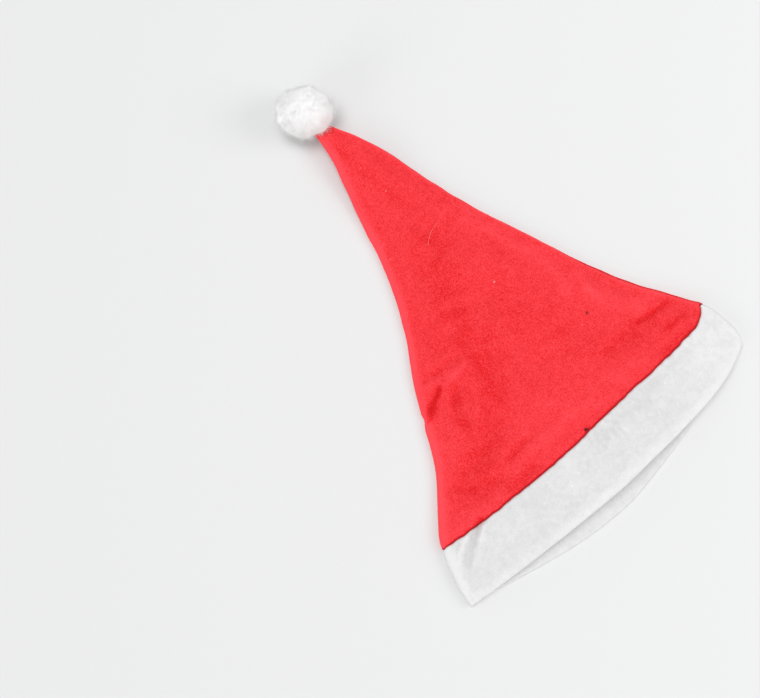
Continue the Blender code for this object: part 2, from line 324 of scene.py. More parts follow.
def section_at(y):
    """Every column of the table at a station, as a dict, on smooth curves through its rows."""
    stations = SECTIONS[:, 0]
    index = int(np.clip(np.searchsorted(stations, y) - 1, 0, len(stations) - 2))
    span = stations[index + 1] - stations[index]
    t = (y - stations[index]) / span
    values = (
        SECTIONS[index] * (1 + 2 * t) * (1 - t) ** 2
        + SLOPES[index] * span * t * (1 - t) ** 2
        + SECTIONS[index + 1] * t * t * (3 - 2 * t)
        + SLOPES[index + 1] * span * t * t * (t - 1)
    )
    return dict(zip(SECTION_COLUMNS, values))


def tip_lift(y):
    return TIP_LIFT * ease((y - LIFT_FROM_Y) / (TIP_Y - LIFT_FROM_Y))


def waves(x, y, length, seed, count=16):
    """A smooth random field with waves of about that length, between about -2 and 2."""
    chance = np.random.default_rng(seed)
    total = np.zeros(np.broadcast(x, y).shape)
    for _ in range(count):
        turn = chance.uniform(0.0, 2.0 * math.pi)
        number = 2.0 * math.pi / (length * chance.uniform(0.75, 1.35))
        phase = chance.uniform(0.0, 2.0 * math.pi)
        total += np.cos((x * math.cos(turn) + y * math.sin(turn)) * number + phase)
    return total / math.sqrt(count / 2)


def fold_line(start, bend, end, count=12):
    """Points of the curve that passes a fold's start, bend and end."""
    t = np.linspace(0.0, 1.0, count)[:, None]
    return (
        (1 - t) * (1 - 2 * t) * np.array(start)
        + 4 * t * (1 - t) * np.array(bend)
        + t * (2 * t - 1) * np.array(end)
    )


FOLD_LINES = [fold_line(*fold[:3]) for fold in FOLDS]


def distance_to(line, x, y):
    """The distance from each plan point to the nearest piece of a line."""
    nearest = np.full(x.shape, np.inf)
    for (ax, ay), (bx, by) in zip(line, line[1:]):
        along = ((x - ax) * (bx - ax) + (y - ay) * (by - ay)) / ((bx - ax) ** 2 + (by - ay) ** 2)
        along = np.clip(along, 0.0, 1.0)
        nearest = np.minimum(nearest, np.hypot(x - ax - along * (bx - ax), y - ay - along * (by - ay)))
    return nearest


def folded(x, y):
    """The height that the folds and dents add to the upper layer, and their tone of painted shade and painted
    highlight. Where several meet, the strongest one that adds and the strongest one that takes away count."""
    rise, tone = [np.zeros(x.shape), np.zeros(x.shape)], [np.zeros(x.shape), np.zeros(x.shape)]
    for (_, _, _, height, reach, painted_light), line in zip(FOLDS, FOLD_LINES):
        share = bell(distance_to(line, x, y), reach)
        for total, most in ((rise, height), (tone, painted_light)):
            sign = int(most > 0)
            total[sign] = np.where(np.abs(most * share) > np.abs(total[sign]), most * share, total[sign])
    return rise[0] + rise[1], tone[0] + tone[1]


def over_bow(at, u):
    """How far the upper layer bows towards the mouth, across its width from -1 to 1."""
    power = np.where(u < 0, at["left_power"], at["right_power"])
    return at["over_bow"] * (1 - np.abs(u) ** power) ** 0.9


def under_bow(at, u):
    """How far the lower layer bows towards the mouth. To the right of its middle it falls off sooner."""
    left = (1 - np.abs(u) ** 2) ** 1.4
    right = (1 - np.abs(u) ** 1.15) ** 0.75
    return at["under_bow"] * np.where(u < 0, left, right)


def seam_wander(x, y):
    """How far the seam strays along Y from its even line, fading out on both sides of it."""
    return (0.25 * waves(x, 0.0, 30.0, 21) + 0.12 * waves(x, 0.0, 9.0, 22)) * math.exp(-((y / 14.0) ** 2))


def cuff_sag(y):
    """The cuff stands high over the seam allowance, sags in its middle and swells at the hem."""
    return sum(height * bell(y - station, reach) for height, station, reach in CUFF_LUMPS)


def puckers(x, y):
    """The small gathers that the stitches of the seam pull into the felt."""
    coarse = 0.20 * waves(x, 0.0, 8.0, 23) * math.exp(-abs(y) / 6.0)
    fine = 0.10 * waves(x, 0.0, 4.0, 24) * math.exp(-abs(y) / 3.0)
    return coarse + fine


def edge_lip(y):
    return LIP_LEAST + (LIP_MOST - LIP_LEAST) * (1 - ease((y - 60.0) / (LIP_UNTIL_Y - 60.0)))


def ring(y, inset=0.0, plump=0.0, sewn=1.0):
    """The closed line round the hat at a station, in millimetres, with a fourth column of tone: the painted
    shade and painted highlight of its folds and edges. inset is how far it is set in from the outer face,
    plump how far the upper layer swells there, and sewn how much its right side shows two edges."""
    at = section_at(y)
    fold = at["fold"]
    left_edge = at["left"] + EDGE_STRAY * float(waves(y, 0.0, 26.0, 31))
    left_edge += NOTCH_DEPTH * bell(y - NOTCH_Y, NOTCH_REACH)
    right_edge = at["right"] + EDGE_STRAY * float(waves(y, 0.0, 22.0, 32))
    roll = fold / 2
    lip = edge_lip(y)
    over_right = right_edge - fold * (1 - sewn) - (lip + roll) * sewn
    under_right = right_edge - fold * (1 - sewn) - roll * sewn
    left = left_edge + fold

    u = np.linspace(-1.0, 1.0, OVER_POINTS)
    x = (left + over_right) / 2 + u * (over_right - left) / 2
    plan_y = y - over_bow(at, u)
    edge = np.minimum(x - left, over_right - x)
    lumps = puckers(x, y)
    for length, height, seed in WAVES:
        lumps = lumps + height * waves(x, plan_y, length, seed)
    shoulder = min(SHOULDER, 0.4 * (over_right - left))
    swell = (at["height"] - 2 * fold) * (1 - u * u) * ease(edge / shoulder)
    # The folds' painted shade and painted highlight, broken up by waves except where they are strongest
    rise, tone = folded(x, plan_y)
    broken = tone * np.clip(0.85 + TONE_BREAKS * waves(x, plan_y, 17.0, 61), 0.1, 1.6)
    crisp = ease((np.abs(tone) - 0.95) / 0.25)
    tone = tone * crisp + broken * (1.0 - crisp)
    swell = swell + rise * ease(edge / FOLD_MARGIN)
    # Painted highlight along the folded left edge and on the sewn edge's upper rim
    tone = tone + LEFT_HIGHLIGHT * bell(x - left, LEFT_STRIP)
    tone = tone + RIM_HIGHLIGHT * bell(over_right - x, RIM_STRIP) * sewn
    least = HOLLOW_LEAST * ease(edge / FOLD_MARGIN)
    swell = np.maximum(swell, least) + (lumps + plump) * ease(edge / LUMP_MARGIN)
    lift = float(tip_lift(y))
    over = np.stack([x, plan_y + seam_wander(x, y), lift + 2 * fold + swell - inset, tone], axis=1)

    u = np.linspace(1.0, -1.0, UNDER_POINTS)
    x = (left + under_right) / 2 + u * (under_right - left) / 2
    plan_y = y - under_bow(at, u)
    under = np.stack([x, plan_y + seam_wander(x, y), np.full(x.shape, lift + inset), 0 * x], axis=1)

    turn = np.linspace(0.5, -0.5, EDGE_POINTS + 2)[1:-1] * math.pi
    radius = fold - inset
    plain_x = right_edge - fold + radius * np.cos(turn)
    plain_z = fold + radius * np.sin(turn)
    half = EDGE_POINTS // 2
    upper = np.radians(np.linspace(60.0, -58.0, half))
    lower = np.radians(np.linspace(58.0, -60.0, half))
    groove_x = right_edge - lip - roll * 1.15
    sewn_x = np.concatenate(
        [right_edge - lip - roll + roll * np.cos(upper), [groove_x], right_edge - roll + roll * np.cos(lower)]
    )
    sewn_z = np.concatenate([1.5 * fold + roll * np.sin(upper), [fold], 0.5 * fold + roll * np.sin(lower)])
    right_x = plain_x * (1 - sewn) + sewn_x * sewn
    right_z = plain_z * (1 - sewn) + sewn_z * sewn
    wander = float(seam_wander(np.array(right_edge), y))
    # Painted highlight on the sewn edge's upper rim, painted shade in its groove and on its lower lip, fading
    # out near the seam
    upper_tone = np.linspace(RIM_HIGHLIGHT, GROOVE_SHADE / 2, half)
    lower_tone = np.full(half, LIP_SHADE)
    right_tone = np.concatenate([upper_tone, [GROOVE_SHADE], lower_tone]) * sewn
    right_tone = right_tone * ease(abs(y) / CORNER_REACH)
    right = np.stack([right_x, np.full(EDGE_POINTS, y + wander), lift + right_z, right_tone], axis=1)

    wander = float(seam_wander(np.array(left_edge), y))
    folded_x = left_edge + fold - radius * np.cos(turn)
    folded_z = lift + fold - radius * np.sin(turn)
    # Painted highlight round the folded edge
    folded_highlight = np.linspace(0.0, LEFT_HIGHLIGHT, EDGE_POINTS)
    folded_side = np.stack([folded_x, np.full(EDGE_POINTS, y + wander), folded_z, folded_highlight], axis=1)
    return np.concatenate([over, right, under, folded_side])


def hat_to_frame(points):
    """Millimetres in the hat's frame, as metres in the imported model's."""
    return points * MM + np.array(HAT_ORIGIN)


def strip_faces(start, other, count):
    """Quads between two rings whose first points have these indices."""
    one = np.arange(count)
    two = (one + 1) % count
    return np.stack([start + one, start + two, other + two, other + one], axis=1)


def loft_faces(rings, count, closed):
    """Quads between neighbouring rings of that many points."""
    pairs = [(i * count, (i + 1) * count) for i in range(rings - 1)]
    if closed:
        pairs.append(((rings - 1) * count, 0))
    return np.concatenate([strip_faces(start, other, count) for start, other in pairs])


def mesh_object(name, rings, faces, material):
    """An object from the points of rings and faces of any size, with the fourth column, painted shade and
    painted highlight, as an attribute.
    """
    points = hat_to_frame(rings[:, :3])
    data = bpy.data.meshes.new(name)
    data.from_pydata(points.tolist(), [], [list(map(int, face)) for face in outward(points, faces)])
    data.shade_smooth()
    data.attributes.new("painted_shade_and_light", "FLOAT", "POINT").data.foreach_set("value", rings[:, 3])
    piece = bpy.data.objects.new(name, data)
    bpy.context.scene.collection.objects.link(piece)
    data.materials.append(material)
    return piece


def outward(points, faces):
    """The faces, turned round if they point inwards."""
    quads = np.array([face for face in faces if len(face) == 4])
    a, b, c, d = (points[quads[:, k]] for k in range(4))
    volume = (a * np.cross(b, c)).sum() + (a * np.cross(c, d)).sum()
    if volume < 0:
        return [tuple(face)[::-1] for face in faces]
    return [tuple(face) for face in faces]


def crown_stations():
    near = [0.0, 0.06, 0.2, 0.42, 0.72, 1.08, 1.5, 2.0, 2.7, 3.6, 4.8, 6.2]
    return near + list(np.arange(8.0, TIP_Y, ROW_STEP)) + [TIP_Y]


def rolled(distance, roll):
    """How far a rounded edge is set in, at a distance from its end."""
    share = min(max(1.0 - distance / roll, 0.0), 1.0)
    return GROOVE_DEPTH * (1.0 - math.sqrt(1.0 - share * share))


def crown(material):
    """One layer of felt: its outer face from tip to mouth, rolled under at the seam, then its inner face."""
    outer = []
    for y in reversed(crown_stations()):
        row = ring(y, rolled(y, CROWN_ROLL), SEAM_SWELL * bell(y, SEAM_SWELL_REACH))
        # Painted shade along the seam, where the crown rolls into the groove
        row[:, 3] = np.maximum(row[:, 3] + SEAM_SHADE * bell(y, SEAM_STRIP), DARKEST_SHADE)
        outer.append(row)
    outer.append(ring(TONGUE_END, TONGUE_INSETS[0], sewn=0.0))
    inner = [ring(TONGUE_END, TONGUE_INSETS[1], sewn=0.0)[::COARSE]]
    inner.append(ring(1.0, TONGUE_INSETS[1], sewn=0.0)[::COARSE])
    inner += [ring(y, FELT, sewn=0.0)[::COARSE] for y in np.linspace(3.0, TIP_Y - FELT, 64)]
    fine = len(outer[0])
    coarse = len(inner[0])
    points = np.concatenate(outer + inner)
    faces = [tuple(face) for face in loft_faces(len(outer), fine, False)]
    first = len(outer) * fine
    faces += [tuple(face) for face in loft_faces(len(inner), coarse, False) + first]
    last = first - fine
    for i in range(coarse):
        edge = [last + (i * COARSE + k) % fine for k in range(COARSE + 1)]
        faces.append(tuple(edge + [first + (i + 1) % coarse, first + i]))
    faces.append(tuple(range(fine))[::-1])
    faces.append(tuple(range(len(points) - coarse, len(points))))
    return mesh_object("crown_felt", points, faces, material)


def cuff_profile():
    """Station and inset of each ring of the doubled strip, from the groove over the hem to the allowance
    and back through the slit between its two layers, with how much its sewn edge shows."""
    rows = []
    for distance in (0.0, 0.1, 0.3, 0.6, 1.0, 1.5, 2.1, 2.8, 3.8, 5.2):
        rows.append((-SEAM_GAP - distance, rolled(distance, CUFF_ROLL), 1.0 - distance / 5.2))
    rows += [(y, 0.0, 0.0) for y in np.linspace(-7.0, HEM_Y + 3.2, 26)]
    middle = CUFF_WALL / 2 + 0.1
    for turn in np.linspace(0.12, 0.88, 11) * math.pi:
        y = HEM_Y + HEM_RADIUS * (1 - math.sin(turn))
        rows.append((y, middle - HEM_RADIUS * math.cos(turn), 0.0))
    rows += [(y, CUFF_WALL, 0.0) for y in np.linspace(HEM_Y + 3.2, ALLOWANCE, 22)]
    rows += [(ALLOWANCE, 1.8, 0.0), (3.0, 1.8, 0.0), (-1.0, 1.8, 0.0)]
    rows += [(y, 2 * FELT - GROOVE_DEPTH, 0.0) for y in np.linspace(-1.6, HEM_Y + 2.6, 9)]
    rows.append((HEM_Y + 2.2, FELT, 0.0))
    rows += [(y, GROOVE_DEPTH, 0.0) for y in np.linspace(HEM_Y + 2.6, -1.2, 9)]
    return rows


def cuff_painted_light(x, y):
    """Painted shade below the seam, mottled by waves and most of it a little right of its middle, a painted
    highlight along the hem and painted light that makes the right end brighter and the left end darker."""
    mottled_seam_shade = np.clip(waves(x, y, 16.0, 51) + 0.6 * waves(x, y, 6.0, 52) + 0.5, 0.0, 2.0)
    mottled_seam_shade *= (0.25 + bell(x - 8.0, 30.0)) * bell(y + 12.0, 8.0)
    hem_highlight = ease((-y - 33.0) / 9.0)
    lit_right_end = 0.8 * ease((x - 60.0) / 60.0)
    shaded_left_end = 0.2 * ease((-20.0 - x) / 60.0)
    return hem_highlight - 0.6 * mottled_seam_shade + lit_right_end - shaded_left_end


def cuff(material):
    rings = []
    for y, inset, sewn in cuff_profile():
        row = ring(y, inset, cuff_sag(y), sewn)
        # The outer face gets the cuff's painted light and shade; the inner layer gets painted light that
        # makes it brighter
        if inset < FELT:
            row[:, 3] = np.maximum(row[:, 3], CUFF_DARKEST_SHADE) + cuff_painted_light(row[:, 0], y)
        else:
            row[:, 3] = LINING_LIGHT
        rings.append(row)
    faces = loft_faces(len(rings), len(rings[0]), True)
    return mesh_object("cuff_felt", np.concatenate(rings), faces, material)


def clump_directions():
    """Unit directions spread evenly over a ball, one for each lock of the solid pompom."""
    i = np.arange(CLUMPS)
    up = 1.0 - 2.0 * (i + 0.5) / CLUMPS
    flat = np.sqrt(1.0 - up * up)
    turn = GOLDEN_ANGLE * i
    return np.stack([flat * np.cos(turn), flat * np.sin(turn), up], axis=1)


def waves_in_space(points, length, seed, count=24):
    """A smooth random field in space, between about -2 and 2."""
    chance = np.random.default_rng(seed)
    total = np.zeros(len(points))
    for _ in range(count):
        way = chance.normal(size=3)
        way *= 2.0 * math.pi / (length * chance.uniform(0.75, 1.35) * np.linalg.norm(way))
        total += np.cos(points @ way + chance.uniform(0.0, 2.0 * math.pi))
    return total / math.sqrt(count / 2)


def pompom_turned(points):
    """From the pompom's own axes to the hat's, still about its centre."""
    cos, sin = math.cos(POMPOM_TURN), math.sin(POMPOM_TURN)
    x = points[:, 0] * cos - points[:, 1] * sin
    y = points[:, 0] * sin + points[:, 1] * cos
    return np.stack([x, y, points[:, 2]], axis=1)


def pompom_surface(directions, share=1.0):
    """Points of the pompom's lumpy surface, in millimetres in the hat's frame."""
    half = np.array([POMPOM_WIDTH, POMPOM_DEPTH, POMPOM_HEIGHT]) / 2
    clumps = clump_directions()
    chance = np.random.default_rng(41)
    clumps = clumps + chance.normal(scale=0.10, size=clumps.shape)
    clumps /= np.linalg.norm(clumps, axis=1)[:, None]
    size = chance.uniform(0.85, 1.2, CLUMPS)
    apart = np.arccos(np.clip(directions @ clumps.T, -1.0, 1.0)) / size
    nearest = apart.min(axis=1)
    radius = PACKED_SHARE + LOCK_RISE * bell(nearest, LOCK_REACH)
    radius += 0.018 * waves_in_space(directions, 0.6, 42) + 0.006 * waves_in_space(directions, 0.2, 43)
    points = directions * half * (radius * share)[:, None]
    points = pompom_turned(points)
    toward_tip = Vector((19.0 - POMPOM_CENTRE[0], 303.0 - POMPOM_CENTRE[1], 14.0 - half[2])).normalized()
    way = points / np.linalg.norm(points, axis=1)[:, None]
    aside = way @ np.array((toward_tip.y, -toward_tip.x, 0.0))
    aloft = way[:, 2] - toward_tip.z
    ahead = way @ np.array(toward_tip)
    notch = np.exp(-((aside / 0.40) ** 4) - (aloft / 0.22) ** 4) * (ahead > 0)
    length = np.linalg.norm(points, axis=1)
    points = way * (length * (1 - notch) + np.minimum(length, 7.0) * notch)[:, None]
    points = points + np.array((*POMPOM_CENTRE, half[2]))
    points[:, 2] = np.maximum(points[:, 2], 0.15)
    return points


def pompom(material):
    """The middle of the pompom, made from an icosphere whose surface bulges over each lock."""
    bpy.ops.mesh.primitive_ico_sphere_add(subdivisions=6, radius=1.0)
    piece = bpy.context.object
    piece.name = "pompom_core"
    directions = np.empty(len(piece.data.vertices) * 3)
    piece.data.vertices.foreach_get("co", directions)
    directions = directions.reshape(-1, 3)
    directions /= np.linalg.norm(directions, axis=1)[:, None]
    points = hat_to_frame(pompom_surface(directions))
    piece.data.vertices.foreach_set("co", points.reshape(-1))
    piece.data.update()
    piece.data.shade_smooth()
    piece.data.materials.append(material)
    return piece


def strands(name, roots, ways, bends, widths, segments, material):
    """Fine tapered fibres with three sides, each closed. roots are their starts, ways their directions
    times their length, and bends(t) how far they stray from straight, all in millimetres."""
    count = len(roots)
    along = ways / np.linalg.norm(ways, axis=1)[:, None]
    other = np.where(np.abs(along[:, 2:3]) < 0.8, np.array((0.0, 0.0, 1.0)), np.array((1.0, 0.0, 0.0)))
    side = np.cross(along, other)
    side /= np.linalg.norm(side, axis=1)[:, None]
    rise = np.cross(along, side)
    rings = []
    for k in range(segments):
        t = k / segments
        middle = roots + ways * t + bends(t)
        thick = widths * (1.0 - 0.75 * t)
        middle[:, 2] = np.maximum(middle[:, 2], thick + FLOOR_GAP)
        for turn in (0.0, 2.0 * math.pi / 3.0, 4.0 * math.pi / 3.0):
            rings.append(middle + (side * math.cos(turn) + rise * math.sin(turn)) * thick[:, None])
    ends = roots + ways + bends(1.0)
    ends[:, 2] = np.maximum(ends[:, 2], FLOOR_GAP)
    rings.append(ends)
    points = np.stack(rings, axis=1).reshape(-1, 3)
    each = 3 * segments + 1
    shape = [(0, 2, 1)]
    for k in range(segments - 1):
        for i in range(3):
            j = (i + 1) % 3
            shape.append((3 * k + i, 3 * k + j, 3 * k + 3 + j))
            shape.append((3 * k + i, 3 * k + 3 + j, 3 * k + 3 + i))
    top = 3 * (segments - 1)
    shape += [(top + i, top + (i + 1) % 3, each - 1) for i in range(3)]
    faces = (np.arange(count)[:, None, None] * each + np.array(shape)[None]).reshape(-1, 3)
    return triangle_object(name, hat_to_frame(points), faces, material)


def triangle_object(name, points, faces, material):
    """An object from many triangles, made quickly."""
    data = bpy.data.meshes.new(name)
    data.vertices.add(len(points))
    data.vertices.foreach_set("co", points.astype(np.float32).reshape(-1))
    data.loops.add(len(faces) * 3)
    data.loops.foreach_set("vertex_index", faces.astype(np.int32).reshape(-1))
    data.polygons.add(len(faces))
    data.polygons.foreach_set("loop_start", np.arange(0, len(faces) * 3, 3, dtype=np.int32))
    data.update(calc_edges=True)
    data.validate()
    data.materials.append(material)
    data.shade_smooth()
    piece = bpy.data.objects.new(name, data)
    bpy.context.scene.collection.objects.link(piece)
    return piece


def spots_on(piece, count, seed, wanted):
    """Random points of a piece's surface in hat millimetres with their normals, from the faces whose
    middles and normals wanted() keeps."""
    data = piece.data
    data.calc_loop_triangles()
    corners = np.empty(len(data.loop_triangles) * 3, dtype=np.int32)
    data.loop_triangles.foreach_get("vertices", corners)
    places = np.empty(len(data.vertices) * 3, dtype=np.float32)
    data.vertices.foreach_get("co", places)
    places = (places.reshape(-1, 3).astype(float) - np.array(HAT_ORIGIN)) / MM
    a, b, c = places[corners.reshape(-1, 3)].transpose(1, 0, 2)
    normals = np.cross(b - a, c - a)
    areas = np.linalg.norm(normals, axis=1) / 2
    normals = normals / np.maximum(areas * 2, 1e-12)[:, None]
    areas = areas * wanted((a + b + c) / 3, normals)
    chance = np.random.default_rng(seed)
    chosen = chance.choice(len(areas), size=count, p=areas / areas.sum())
    first, second = chance.random(count), chance.random(count)
    over = first + second > 1.0
    first[over], second[over] = 1.0 - first[over], 1.0 - second[over]
    spots = a[chosen] + (b - a)[chosen] * first[:, None] + (c - a)[chosen] * second[:, None]
    return spots, normals[chosen]


def nap(name, piece, count, seed, wanted, lengths, rise, material):
    """Short loose fibres that lie on the felt in all directions, each with its root in its surface."""
    roots, normals = spots_on(piece, count, seed, wanted)
    chance = np.random.default_rng(seed + 1)
    aside = np.cross(normals, chance.normal(size=normals.shape))
    aside /= np.linalg.norm(aside, axis=1)[:, None]
    tilt = chance.uniform(rise[0], rise[1], count)[:, None]
    ways = aside * np.cos(tilt) + normals * np.sin(tilt)
    ways *= chance.uniform(lengths[0], lengths[1], count)[:, None]
    widths = chance.uniform(0.022, 0.045, count)
    return strands(name, roots - normals * 0.03, ways, lambda t: 0.0, widths, 1, material)


def pompom_fibres(name, count, seed, reach, material):
    """Crimped fibres that stand out of the pompom and swirl together in tufts."""
    chance = np.random.default_rng(seed)
    directions = chance.normal(size=(count, 3))
    directions /= np.linalg.norm(directions, axis=1)[:, None]
    roots = pompom_surface(directions, 0.97)
    way = roots - np.array((*POMPOM_CENTRE, POMPOM_HEIGHT / 2))
    way /= np.linalg.norm(way, axis=1)[:, None]
    swirl = np.stack([waves_in_space(roots, 6.0, seed + k) for k in (1, 2, 3)], axis=1)
    way = way + 0.75 * swirl + 0.28 * chance.normal(size=way.shape)
    way /= np.linalg.norm(way, axis=1)[:, None]
    ways = way * (reach[0] + (reach[1] - reach[0]) * chance.random(count) ** 2)[:, None]
    ways[:, 2] = np.maximum(ways[:, 2], 0.4 - roots[:, 2])
    one = np.cross(way, chance.normal(size=way.shape))
    one /= np.linalg.norm(one, axis=1)[:, None]
    two = np.cross(way, one)
    sway = chance.uniform(0.3, 1.1, count)[:, None]
    turns = chance.uniform(0.5, 1.3, count)[:, None] * 2.0 * math.pi
    phase = chance.uniform(0.0, 2.0 * math.pi, count)[:, None]

    def bends(t):
        across = one * (np.sin(turns * t + phase) - np.sin(phase))
        aside = two * (np.cos(turns * t + phase) - np.cos(phase))
        return sway * (across + aside)

    widths = chance.uniform(0.03, 0.06, count)
    return strands(name, roots, ways, bends, widths, 3, material)


def places_of(piece):
    """The points of a piece, in hat millimetres."""
    places = np.empty(len(piece.data.vertices) * 3, dtype=np.float32)
    piece.data.vertices.foreach_get("co", places)
    return (places.reshape(-1, 3).astype(float) - np.array(HAT_ORIGIN)) / MM


def height_at(places, x, y):
    """The highest of the points near a plan point."""
    apart = np.hypot(places[:, 0] - x, places[:, 1] - y)
    return float(places[apart < max(1.5, apart.min() + 0.1), 2].max())


def lying_fibre(name, ends, arch, width, places, material):
    """One long loose fibre that lies on the crown in a shallow arch."""
    start, end = (np.array((*place, height_at(places, *place))) for place in ends)
    run = end - start
    side = np.array((-run[1], run[0])) / np.hypot(run[0], run[1])

    def bends(t):
        aside = side * arch * math.sin(math.pi * t)
        x, y, z = start + run * t + (*aside, 0.0)
        return np.array([[aside[0], aside[1], height_at(places, x, y) + width - z]])

    return strands(name, start[None], run[None], bends, np.array([width]), 14, material)


def tangle(name, place, count, reach, width, seed, places, material):
    """A small tuft of short fibres that lie across each other on the crown."""
    chance = np.random.default_rng(seed)
    middle = np.array((*place, height_at(places, *place)))
    roots = middle + chance.normal(scale=0.3 * reach, size=(count, 3)) * (1.0, 1.0, 0.25)
    roots[:, 2] = np.maximum(roots[:, 2], middle[2])
    ways = chance.normal(size=(count, 3)) * (1.0, 1.0, 0.3)
    ways[:, 2] = np.abs(ways[:, 2])
    ways *= (reach * chance.uniform(0.4, 1.0, count) / np.linalg.norm(ways, axis=1))[:, None]
    curl = chance.normal(scale=0.25 * reach, size=(count, 3)) * (1.0, 1.0, 0.2)
    widths = width * chance.uniform(0.5, 1.0, count)
    return strands(name, roots, ways, lambda t: curl * math.sin(math.pi * t), widths, 3, material)


def seam_stitches(name, material):
    """The row of stitches inside the mouth that holds the cuff's allowance to the crown."""
    line = ring(STITCH_Y, CUFF_WALL + 0.5 * STITCH_WIDTH, cuff_sag(STITCH_Y), 0.0)[:, :3]
    line = np.concatenate([line, line[:1]])
    along = np.concatenate([[0.0], np.cumsum(np.linalg.norm(np.diff(line, axis=0), axis=1))])
    starts = np.arange(0.0, along[-1] - STITCH_PITCH, STITCH_PITCH)
    points, faces = [], []
    around = np.arange(STITCH_SIDES) * 2.0 * math.pi / STITCH_SIDES
    count = STITCH_RINGS * STITCH_SIDES
    for number, start in enumerate(starts):
        for k in range(STITCH_RINGS):
            share = k / (STITCH_RINGS - 1)
            at = [np.interp(start + share * STITCH_LENGTH, along, line[:, axis]) for axis in range(3)]
            radius = 0.5 * STITCH_WIDTH * (0.15 + 0.85 * math.sin(math.pi * share) ** 0.5)
            for angle in around:
                points.append((at[0], at[1] + radius * math.cos(angle), at[2] + radius * math.sin(angle)))
        first = number * count
        for k in range(STITCH_RINGS - 1):
            for quad in strip_faces(first + k * STITCH_SIDES, first + (k + 1) * STITCH_SIDES, STITCH_SIDES):
                faces.append(tuple(quad))
        faces.append(tuple(range(first, first + STITCH_SIDES))[::-1])
        faces.append(tuple(range(first + count - STITCH_SIDES, first + count)))
    rings = np.array([(*point, 0.0) for point in points])
    return mesh_object(name, rings, faces, material)


def add_noise(nodes, links, coordinates, scale, detail, roughness, stretch=None, turn=0.0):
    """A noise texture over the object's coordinates, stretched and turned if asked."""
    noise = nodes.new("ShaderNodeTexNoise")
    noise.inputs["Scale"].default_value = scale
    noise.inputs["Detail"].default_value = detail
    noise.inputs["Roughness"].default_value = roughness
    if stretch is None:
        links.new(coordinates, noise.inputs["Vector"])
    else:
        mapping = nodes.new("ShaderNodeMapping")
        mapping.inputs["Scale"].default_value = stretch
        mapping.inputs["Rotation"].default_value = (0.0, 0.0, turn)
        links.new(coordinates, mapping.inputs["Vector"])
        links.new(mapping.outputs["Vector"], noise.inputs["Vector"])
    return noise.outputs["Fac"]


def add_maths(nodes, links, operation, first, second):
    node = nodes.new("ShaderNodeMath")
    node.operation = operation
    for socket, value in zip(node.inputs, (first, second)):
        if isinstance(value, (int, float)):
            socket.default_value = value
        else:
            links.new(value, socket)
    return node.outputs["Value"]


def spread_range(nodes, links, value, low, high):
    """The value, stretched so that low becomes 0 and high 1."""
    node = nodes.new("ShaderNodeMapRange")
    node.inputs["From Min"].default_value = low
    node.inputs["From Max"].default_value = high
    links.new(value, node.inputs["Value"])
    return node.outputs["Result"]


def felt_material(name, groove_shade_colour, dark, light, fleck, grain, painted_light_share, bump):
    """Needled felt: matted fibres with small dark pits over faint broad mottling, with a few pale flecks.
    The first colour is painted shade, which shows only in grooves and creases; grain is the share of the
    tone that the fibres make, and the next argument how much the attribute's painted shade and highlight add."""
    material = bpy.data.materials.new(name)
    material.use_nodes = True
    nodes, links = material.node_tree.nodes, material.node_tree.links
    shader = nodes["Principled BSDF"]
    place = nodes.new("ShaderNodeTexCoord").outputs["Object"]
    spread = {}
    for kind, (scale, detail, roughness, low, high) in FELT_NOISES.items():
        noise = add_noise(nodes, links, place, scale, detail, roughness)
        spread[kind] = spread_range(nodes, links, noise, low, high)
    fibres = None
    for turn in (0.3, 1.35, 2.4):
        streak = add_noise(nodes, links, place, 1100.0, 2.0, 0.6, (1.0, 0.22, 1.0), turn)
        streak = spread_range(nodes, links, streak, 0.46, 0.64)
        fibres = streak if fibres is None else add_maths(nodes, links, "MAXIMUM", fibres, streak)
    texture = None
    for layer, share in ((spread["matted"], 0.36), (spread["fine"], 0.48), (fibres, 0.16)):
        layer = add_maths(nodes, links, "MULTIPLY", layer, share)
        texture = layer if texture is None else add_maths(nodes, links, "ADD", texture, layer)
    tone = add_maths(nodes, links, "MULTIPLY", texture, grain)
    for layer in (spread["broad"], spread["blotches"]):
        layer = add_maths(nodes, links, "MULTIPLY", layer, (1.0 - grain) / 2)
        tone = add_maths(nodes, links, "ADD", tone, layer)
    # Painted shade and painted highlight from the attribute, added to the felt's tone
    painted_shade_and_light = nodes.new("ShaderNodeAttribute")
    painted_shade_and_light.attribute_name = "painted_shade_and_light"
    painted_light_added = add_maths(nodes, links, "MULTIPLY", painted_shade_and_light.outputs["Fac"], painted_light_share)
    tone = add_maths(nodes, links, "ADD", tone, painted_light_added)
    mix = nodes.new("ShaderNodeMix")
    mix.data_type = "RGBA"
    mix.inputs["A"].default_value = dark
    mix.inputs["B"].default_value = light
    links.new(tone, mix.inputs["Factor"])
    spotted = nodes.new("ShaderNodeMix")
    spotted.data_type = "RGBA"
    spotted.inputs["B"].default_value = fleck
    links.new(mix.outputs["Result"], spotted.inputs["A"])
    links.new(spread["flecks"], spotted.inputs["Factor"])
    # Painted shade: the groove colour, mixed in where the attribute's tone falls below the groove tones
    groove_shaded = nodes.new("ShaderNodeMix")
    groove_shaded.data_type = "RGBA"
    groove_shaded.inputs["B"].default_value = groove_shade_colour
    links.new(spotted.outputs["Result"], groove_shaded.inputs["A"])
    groove_shade_share = spread_range(nodes, links, painted_shade_and_light.outputs["Fac"], *PAINTED_GROOVE_TONES)
    links.new(groove_shade_share, groove_shaded.inputs["Factor"])
    links.new(groove_shaded.outputs["Result"], shader.inputs["Base Color"])
    shader.inputs["Roughness"].default_value = 0.62
    shader.inputs["Specular IOR Level"].default_value = 0.2
    shader.inputs["Sheen Weight"].default_value = 0.05
    shader.inputs["Sheen Roughness"].default_value = 0.4
    height = nodes.new("ShaderNodeBump")
    height.inputs["Strength"].default_value = bump
    height.inputs["Distance"].default_value = 0.0005
    links.new(texture, height.inputs["Height"])
    links.new(height.outputs["Normal"], shader.inputs["Normal"])
    return material


